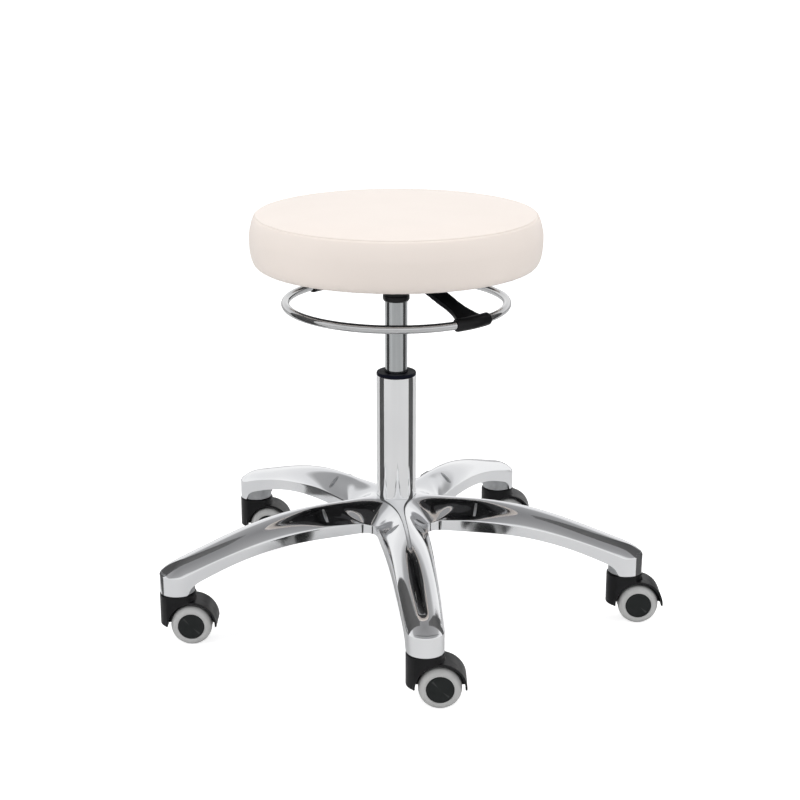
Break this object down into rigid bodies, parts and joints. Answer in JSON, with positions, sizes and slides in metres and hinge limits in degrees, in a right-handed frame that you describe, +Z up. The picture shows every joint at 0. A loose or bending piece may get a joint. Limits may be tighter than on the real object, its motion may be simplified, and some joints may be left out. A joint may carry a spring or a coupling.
{
  "type": "dentist stool",
  "caption": "Round padded stool on a gas-spring column with a release ring, on a polished star base with twin-wheel castors.",
  "frame": {"origin": "on the floor, under the column's axis", "axes": "+Z up along the column; +X the way the castors trail, with the right leg 11.5 degrees to its right; -Y towards the front leg"},
  "size_m": [0.6258, 0.592, 0.517],
  "materials": {
    "polished_aluminium": "mirror polished",
    "chrome": "mirror",
    "satin_steel": "satin ground",
    "bright_steel": "bright",
    "zinc_steel": "zinc plated",
    "black_enamel": "satin black",
    "black_plastic": "fine moulded grain",
    "bush_plastic": "smooth moulded",
    "charcoal_plastic": "fine moulded grain",
    "grey_tread": "smooth matt",
    "black_rubber": "matt",
    "white_upholstery": "fine-grained artificial leather, semi-matt",
    "plywood": "raw birch",
    "foam": "open-cell foam",
    "dust_cloth": "non-woven cloth"
  },
  "bodies": {
    "base": {"star_base": "polished_aluminium", "column_tube": "chrome", "guide_bush": "bush_plastic", "bearing_lower_race": "bright_steel", "front_stem": "zinc_steel", "right_stem": "zinc_steel", "back_right_stem": "zinc_steel", "back_left_stem": "zinc_steel", "left_stem": "zinc_steel"},
    "rod": {"piston_rod": "bright_steel", "piston": "bright_steel", "bearing_upper_race": "bright_steel", "bearing_balls": "bright_steel", "bump_stop": "black_rubber", "rod_clip": "zinc_steel"},
    "seat": {"gas_cylinder": "satin_steel", "rod_seal": "black_rubber", "valve_body": "bright_steel", "mechanism_housing": "black_enamel", "seat_plate": "black_enamel", "plate_screws": "zinc_steel", "tee_nuts": "zinc_steel", "seat_board": "plywood", "seat_foam": "foam", "cover_top": "white_upholstery", "cover_band": "white_upholstery", "dust_cover": "dust_cloth"},
    "release": {"ring_yoke": "black_plastic", "release_ring": "chrome"},
    "pin": {"release_pin": "bright_steel"},
    "front_castor": {"front_hood": "black_plastic", "front_axle": "bright_steel"},
    "front_wheel_near": {"front_wheel_near": "charcoal_plastic", "front_tread_near": "grey_tread"},
    "front_wheel_far": {"front_wheel_far": "charcoal_plastic", "front_tread_far": "grey_tread"},
    "right_castor": {"right_hood": "black_plastic", "right_axle": "bright_steel"},
    "right_wheel_near": {"right_wheel_near": "charcoal_plastic", "right_tread_near": "grey_tread"},
    "right_wheel_far": {"right_wheel_far": "charcoal_plastic", "right_tread_far": "grey_tread"},
    "back_right_castor": {"back_right_hood": "black_plastic", "back_right_axle": "bright_steel"},
    "back_right_wheel_near": {"back_right_wheel_near": "charcoal_plastic", "back_right_tread_near": "grey_tread"},
    "back_right_wheel_far": {"back_right_wheel_far": "charcoal_plastic", "back_right_tread_far": "grey_tread"},
    "back_left_castor": {"back_left_hood": "black_plastic", "back_left_axle": "bright_steel"},
    "back_left_wheel_near": {"back_left_wheel_near": "charcoal_plastic", "back_left_tread_near": "grey_tread"},
    "back_left_wheel_far": {"back_left_wheel_far": "charcoal_plastic", "back_left_tread_far": "grey_tread"},
    "left_castor": {"left_hood": "black_plastic", "left_axle": "bright_steel"},
    "left_wheel_near": {"left_wheel_near": "charcoal_plastic", "left_tread_near": "grey_tread"},
    "left_wheel_far": {"left_wheel_far": "charcoal_plastic", "left_tread_far": "grey_tread"}
  },
  "joints": [
    {"name": "seat_swivel", "type": "hinge", "parent": "base", "child": "rod", "pos_m": [0, 0, 0.11], "axis": [0, 0, 1], "continuous": true},
    {"name": "seat_height", "type": "slide", "parent": "rod", "child": "seat", "axis": [0, 0, 1], "range_m": [-0.09, 0.035]},
    {"name": "ring_tilt", "type": "hinge", "parent": "seat", "child": "release", "pos_m": [0.02419, -0.02734, 0.4407], "axis": [-0.749, -0.6626, 0], "range_deg": [0, 5.2], "stiffness_Nm_per_rad": 8, "springref_deg": -6.88},
    {"name": "pin_press", "type": "slide", "parent": "seat", "child": "pin", "axis": [0, 0, 1], "range_m": [-0.0034, 0]},
    {"name": "front_swivel", "type": "hinge", "parent": "base", "child": "front_castor", "pos_m": [0.03328, -0.29211, 0.06], "axis": [0, 0, 1], "continuous": true},
    {"name": "front_roll_near", "type": "hinge", "parent": "front_castor", "child": "front_wheel_near", "pos_m": [0.04998, -0.29211, 0.025], "axis": [0, 1, 0], "continuous": true},
    {"name": "front_roll_far", "type": "hinge", "parent": "front_castor", "child": "front_wheel_far", "pos_m": [0.04998, -0.29211, 0.025], "axis": [0, 1, 0], "continuous": true},
    {"name": "right_swivel", "type": "hinge", "parent": "base", "child": "right_castor", "pos_m": [0.2881, -0.05861, 0.06], "axis": [0, 0, 1], "continuous": true},
    {"name": "right_roll_near", "type": "hinge", "parent": "right_castor", "child": "right_wheel_near", "pos_m": [0.3048, -0.05861, 0.025], "axis": [0, 1, 0], "continuous": true},
    {"name": "right_roll_far", "type": "hinge", "parent": "right_castor", "child": "right_wheel_far", "pos_m": [0.3048, -0.05861, 0.025], "axis": [0, 1, 0], "continuous": true},
    {"name": "back_right_swivel", "type": "hinge", "parent": "base", "child": "back_right_castor", "pos_m": [0.14477, 0.25588, 0.06], "axis": [0, 0, 1], "continuous": true},
    {"name": "back_right_roll_near", "type": "hinge", "parent": "back_right_castor", "child": "back_right_wheel_near", "pos_m": [0.16147, 0.25588, 0.025], "axis": [0, 1, 0], "continuous": true},
    {"name": "back_right_roll_far", "type": "hinge", "parent": "back_right_castor", "child": "back_right_wheel_far", "pos_m": [0.16147, 0.25588, 0.025], "axis": [0, 1, 0], "continuous": true},
    {"name": "back_left_swivel", "type": "hinge", "parent": "base", "child": "back_left_castor", "pos_m": [-0.19862, 0.21676, 0.06], "axis": [0, 0, 1], "continuous": true},
    {"name": "back_left_roll_near", "type": "hinge", "parent": "back_left_castor", "child": "back_left_wheel_near", "pos_m": [-0.18192, 0.21676, 0.025], "axis": [0, 1, 0], "continuous": true},
    {"name": "back_left_roll_far", "type": "hinge", "parent": "back_left_castor", "child": "back_left_wheel_far", "pos_m": [-0.18192, 0.21676, 0.025], "axis": [0, 1, 0], "continuous": true},
    {"name": "left_swivel", "type": "hinge", "parent": "base", "child": "left_castor", "pos_m": [-0.26753, -0.12192, 0.06], "axis": [0, 0, 1], "continuous": true},
    {"name": "left_roll_near", "type": "hinge", "parent": "left_castor", "child": "left_wheel_near", "pos_m": [-0.25083, -0.12192, 0.025], "axis": [0, 1, 0], "continuous": true},
    {"name": "left_roll_far", "type": "hinge", "parent": "left_castor", "child": "left_wheel_far", "pos_m": [-0.25083, -0.12192, 0.025], "axis": [0, 1, 0], "continuous": true}
  ],
  "couplings": [
    {"joint": "pin_press", "follows": "ring_tilt", "m_per_rad": -0.0365}
  ]
}
